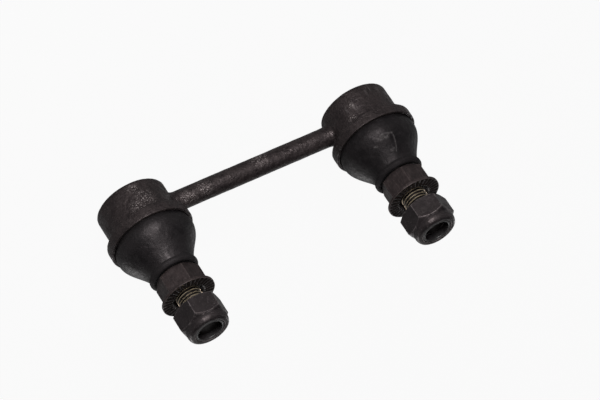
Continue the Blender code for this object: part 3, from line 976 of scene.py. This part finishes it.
def boot_rubber(scuffed):
    """Moulded chloroprene.

    It gives a neutral black, matte with one soft sheen, pale where it was rubbed. The texture of
    the mould, about 0.1 mm across, is drawn at 1.2 mm, so that it shows.
    """
    name = "boot_rubber_scuffed" if scuffed else "boot_rubber"
    material, tree, shader, where = new_material(name)
    colour = mottled(tree, where, "0E0D0E", "151314", 8.0, 1.6, 0.3)
    if scuffed:
        rubbed = add_node(tree, "Attribute", attribute_name="rubbed").outputs["Fac"]
        marks = patches(tree, where, 0.7, (4.0, 0.7), (0.36, 0.60), (0.15, 1.0), rubbed)
        haze = patches(tree, where, 3.0, (5.0, 0.7), (0.52, 0.72), (0.0, 0.35))
        colour = coats(tree, colour, ((haze, "282526"), (marks, "444141")))
    tree.links.new(colour, shader.inputs["Base Color"])
    # The dome has a soft sheen in patches, and the bead at the neck is duller
    sheen = patches(tree, where, 3.4, (5.0, 0.65), (0.38, 0.62), (0.39, 0.54))
    axes = add_node(tree, "SeparateXYZ", {"Vector": where})
    bead = add_node(
        tree,
        "MapRange",
        {"Value": axes.outputs["Z"], "From Min": 0.0332, "From Max": 0.034, "To Max": 0.25},
        interpolation_type="SMOOTHSTEP",
    )
    rough = add_node(tree, "Math", {0: sheen, 1: bead.outputs["Result"]}, operation="ADD")
    tree.links.new(rough.outputs[0], shader.inputs["Roughness"])
    dull_gloss(shader, 0.15 if scuffed else 0.24, "FFF2F4")
    lumps(tree, shader, where, ((4.5, 0.40), (1.2, 0.09)))
    return material


def clouded(name, base, light, size, fine, rough_size, rough_fine, rough):
    """A finish of two close colours in clouds, with a soft cloudy gloss."""
    material, tree, shader, where = new_material(name)
    clouds = patches(tree, where, size, fine, (0.3, 0.7))
    colour = coats(tree, linear(base), ((clouds, light),))
    tree.links.new(colour, shader.inputs["Base Color"])
    gloss = patches(tree, where, rough_size, rough_fine, (0.3, 0.7), rough)
    tree.links.new(gloss, shader.inputs["Roughness"])
    return material


def moulded_resin(name, base, light, size):
    """Injection-moulded plastic: low gloss, faint flow clouds."""
    return clouded(name, base, light, size, (3.0, 0.5), 1.0, (3.0, 0.5), (0.34, 0.48))


def bright_steel(name, base, light, size, rough):
    """Plated or bare steel: grey metal with soft cloudy gloss."""
    material = clouded(name, base, light, size, (5.0, 0.6), size / 3, (4.0, 0.6), rough)
    material.node_tree.nodes["Principled BSDF"].inputs["Metallic"].default_value = 1.0
    return material


# Where the forging's coat has rubbed: x, y, z and radius in millimetres
RUBBED_SPOTS = (
    (-48.3, 14.0, 2.8, 3.0),
    (-49.6, 13.9, 11.0, 4.5),
    (-45.5, 13.9, 8.5, 5.0),
    (-27.8, 3.0, 9.8, 4.5),
    (-21.0, 3.9, 8.4, 4.5),
    (3.1, 3.8, 6.4, 5.0),
    (42.1, 12.9, 6.4, 2.0),
    (40.0, 12.0, 11.5, 2.6),
)
# Where it was dragged along the cup
DRAGGED_SPOTS = (
    (42.5, 13.0, 6.5, 5.0),
    (53.0, 12.9, 3.6, 5.0),
)

# ---- The pieces on their bodies

forging = coated_forging()
stud_steel = phosphated_steel()
thread_finish = thread_steel()
nut_steel = blackened_nut_steel()
nylon = moulded_resin("dark_nylon", "171516", "221F20", 3.0)

link = forged_link()
forge_unevenness(link)
link = piece("link_forging", link, 0, forging)
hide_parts("forged_link")
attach(link, "link")

for side, place in SIDES.items():
    x = place["x"]
    plate = piece(side + "_pressed_cover", cover_plate(), x, forging)
    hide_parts(side + "_cover_plate")
    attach(plate, "link")

    rubber = boot_rubber(scuffed=bool(place["creases"]))
    boot = piece(side + "_rubber_boot", dust_boot(place), x, rubber)
    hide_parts(side + "_dust_boot")
    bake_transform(boot)

    body = stud_body()
    # The collar's face towards the nut gets painted shade
    shade_in_hollow(body)
    turn_to(body, place["hex_turn"])
    stud = piece(side + "_hex_stud", body, x, stud_steel)
    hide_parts(side + "_ball_stud")
    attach(stud, side + "_stud")

    shank = stud_thread()
    height_in_thread(shank)
    thread = piece(
        side + "_rolled_thread", shank, x, thread_finish, THREAD_SHARP_ANGLE
    )
    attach(thread, side + "_stud")

    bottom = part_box(side + "_lock_nut")[0].z / MM
    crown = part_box(side + "_lock_nut")[1].z / MM
    nut_mesh = lock_nut(bottom)
    turn_to(nut_mesh, place["nut_turn"])
    nut = piece(side + "_locking_nut", nut_mesh, x, nut_steel)
    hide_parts(side + "_lock_nut")
    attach(nut, side + "_nut")

    insert = piece(side + "_locking_ring", nylon_ring(crown), x, nylon)
    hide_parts(side + "_nylon_ring")
    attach(insert, side + "_insert")

# Pieces inside the cups and boots keep their solids and get their finishes
resin = moulded_resin("acetal_resin", "D8D2C0", "E4DFD0", 5.0)
INNER_FINISHES = {
    "lower_bearing_shell": resin,
    "upper_bearing_shell": resin,
    "boot_neck_sleeve": moulded_resin("graphite_filled_resin", "1C1C1D", "29292A", 2.0),
    "preload_spring": bright_steel("spring_steel", "77756F", "8F8C86", 3.0, (0.28, 0.42)),
    "boot_base_ring": bright_steel("zinc_plated_ring", "A6A69F", "C0BFB6", 2.0, (0.25, 0.4)),
}
for side in SIDES:
    for node, material in INNER_FINISHES.items():
        for material_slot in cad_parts[side + "_" + node].material_slots:
            material_slot.material = material

# ---- Floor, light and camera

FLOOR_DROP = 0.0001  # in metres, so that the cups' ends don't lie in the floor
FLOOR_WHITE = 0.94  # share of plain white that the camera sees in the floor
FLOOR_WHITE_IN_GLOSS = 0.10

floor_mesh = bpy.data.meshes.new("floor")
bm = bmesh.new()
bmesh.ops.create_grid(bm, x_segments=1, y_segments=1, size=4)
bmesh.ops.translate(bm, verts=bm.verts[:], vec=(0, 0, -FLOOR_DROP))
bm.to_mesh(floor_mesh)
bm.free()
floor = bpy.data.objects.new("floor", floor_mesh)
bpy.context.scene.collection.objects.link(floor)

floor_material = bpy.data.materials.new("pale_floor")
floor_material.use_nodes = True
floor_mesh.materials.append(floor_material)
tree = floor_material.node_tree
shader = tree.nodes["Principled BSDF"]
shader.inputs["Base Color"].default_value = linear("B0B0B0")
shader.inputs["Roughness"].default_value = 0.9
# Plain white is mixed in, one share for camera and transmission rays, one for glossy rays
path = add_node(tree, "LightPath").outputs
direct = {0: path["Is Camera Ray"], 1: path["Is Transmission Ray"]}
direct = add_node(tree, "Math", direct, operation="MAXIMUM", use_clamp=True).outputs[0]
direct = add_node(tree, "Math", {0: direct, 1: FLOOR_WHITE}, operation="MULTIPLY").outputs[0]
gloss = {0: path["Is Glossy Ray"], 1: FLOOR_WHITE_IN_GLOSS}
gloss = add_node(tree, "Math", gloss, operation="MULTIPLY").outputs[0]
share = add_node(tree, "Math", {0: direct, 1: gloss}, operation="MAXIMUM", use_clamp=True)
white = add_node(tree, "Emission", {"Strength": 1.0}).outputs["Emission"]
mixed = add_node(tree, "MixShader", {0: share.outputs[0], 1: shader.outputs["BSDF"], 2: white})
tree.links.new(mixed.outputs["Shader"], tree.nodes["Material Output"].inputs["Surface"])

# A dim studio with a white backdrop: white for camera rays, and for glossy and transmission rays
# up to where the backdrop would end
STUDIO_LIGHT = 0.03
BACKDROP_EDGE = (0.26, 0.12)  # sine of the height at which the white has gone, and is full

world = bpy.data.worlds.new("studio")
bpy.context.scene.world = world
world.use_nodes = True
tree = world.node_tree
dim = tree.nodes["Background"]
dim.inputs["Color"].default_value = (1, 1, 1, 1)
dim.inputs["Strength"].default_value = STUDIO_LIGHT
path = add_node(tree, "LightPath").outputs
towards = add_node(tree, "TexCoord").outputs["Generated"]
axes = add_node(tree, "SeparateXYZ", {"Vector": towards})
backdrop = add_node(
    tree,
    "MapRange",
    {"Value": axes.outputs["Z"], "From Min": BACKDROP_EDGE[0], "From Max": BACKDROP_EDGE[1]},
    interpolation_type="SMOOTHSTEP",
).outputs["Result"]
mirrored = {0: path["Is Glossy Ray"], 1: path["Is Transmission Ray"]}
mirrored = add_node(tree, "Math", mirrored, operation="MAXIMUM", use_clamp=True).outputs[0]
mirrored = add_node(tree, "Math", {0: mirrored, 1: backdrop}, operation="MULTIPLY").outputs[0]
share = {0: path["Is Camera Ray"], 1: mirrored}
share = add_node(tree, "Math", share, operation="MAXIMUM", use_clamp=True).outputs[0]
white = add_node(tree, "Background", {"Color": (1, 1, 1, 1), "Strength": 1.0})
mixed = add_node(
    tree,
    "MixShader",
    {0: share, 1: dim.outputs["Background"], 2: white.outputs["Background"]},
)
tree.links.new(mixed.outputs["Shader"], tree.nodes["World Output"].inputs["Surface"])

# Soft lamps, all aimed at the middle of the link. The far ones light the side away from the
# camera, from where they don't shine back at it off the black parts.
LAMP_AIM = (0, 0, 0.03)
# Name, direction from the link, distance, width and height in metres, and watts
LAMPS = (
    ("key", (-0.12, 0.98, 0.17), 1.0, 0.30, 0.26, 10.6),
    ("upper", (-0.06, 0.66, 0.74), 1.2, 0.7, 0.7, 4.0),
    ("far_upper", (0.0, -0.80, 0.60), 1.5, 1.2, 0.8, 2.5),
    ("far_left", (-0.34, -0.93, 0.12), 1.2, 0.7, 0.4, 3.4),
    ("far_right", (0.66, -0.75, 0.10), 1.2, 0.5, 0.3, 1.2),
)
for name, direction, distance, width, height, watts in LAMPS:
    light = bpy.data.lights.new(name, "AREA")
    light.shape = "RECTANGLE"
    light.size, light.size_y = width, height
    light.energy = watts
    lamp = bpy.data.objects.new(name, light)
    bpy.context.scene.collection.objects.link(lamp)
    towards = Vector(direction).normalized()
    lamp.location = Vector(LAMP_AIM) + towards * distance
    lamp.rotation_mode = "QUATERNION"
    lamp.rotation_quaternion = towards.to_track_quat("Z", "Y")

# The photograph's viewpoint, fitted to the outline of the object
CAMERA_PLACE = (-0.357283, 0.983069, 0.594774)
CAMERA_RIGHT = (0.872651, 0.044802, 0.486286)
CAMERA_UP = (0.379558, 0.564334, -0.733118)
CAMERA_BACK = (-0.307273, 0.824330, 0.475462)
CAMERA_LENS = 192.438

camera = bpy.data.cameras.new("camera")
camera.lens = CAMERA_LENS
camera.sensor_width = 36
camera.clip_start, camera.clip_end = 0.01, 20
camera_object = bpy.data.objects.new("camera", camera)
bpy.context.scene.collection.objects.link(camera_object)
camera_object.location = CAMERA_PLACE
camera_object.rotation_mode = "QUATERNION"
camera_object.rotation_quaternion = (
    Matrix((CAMERA_RIGHT, CAMERA_UP, CAMERA_BACK)).transposed().to_quaternion()
)
bpy.context.scene.camera = camera_object
bpy.context.scene.view_settings.view_transform = "Standard"
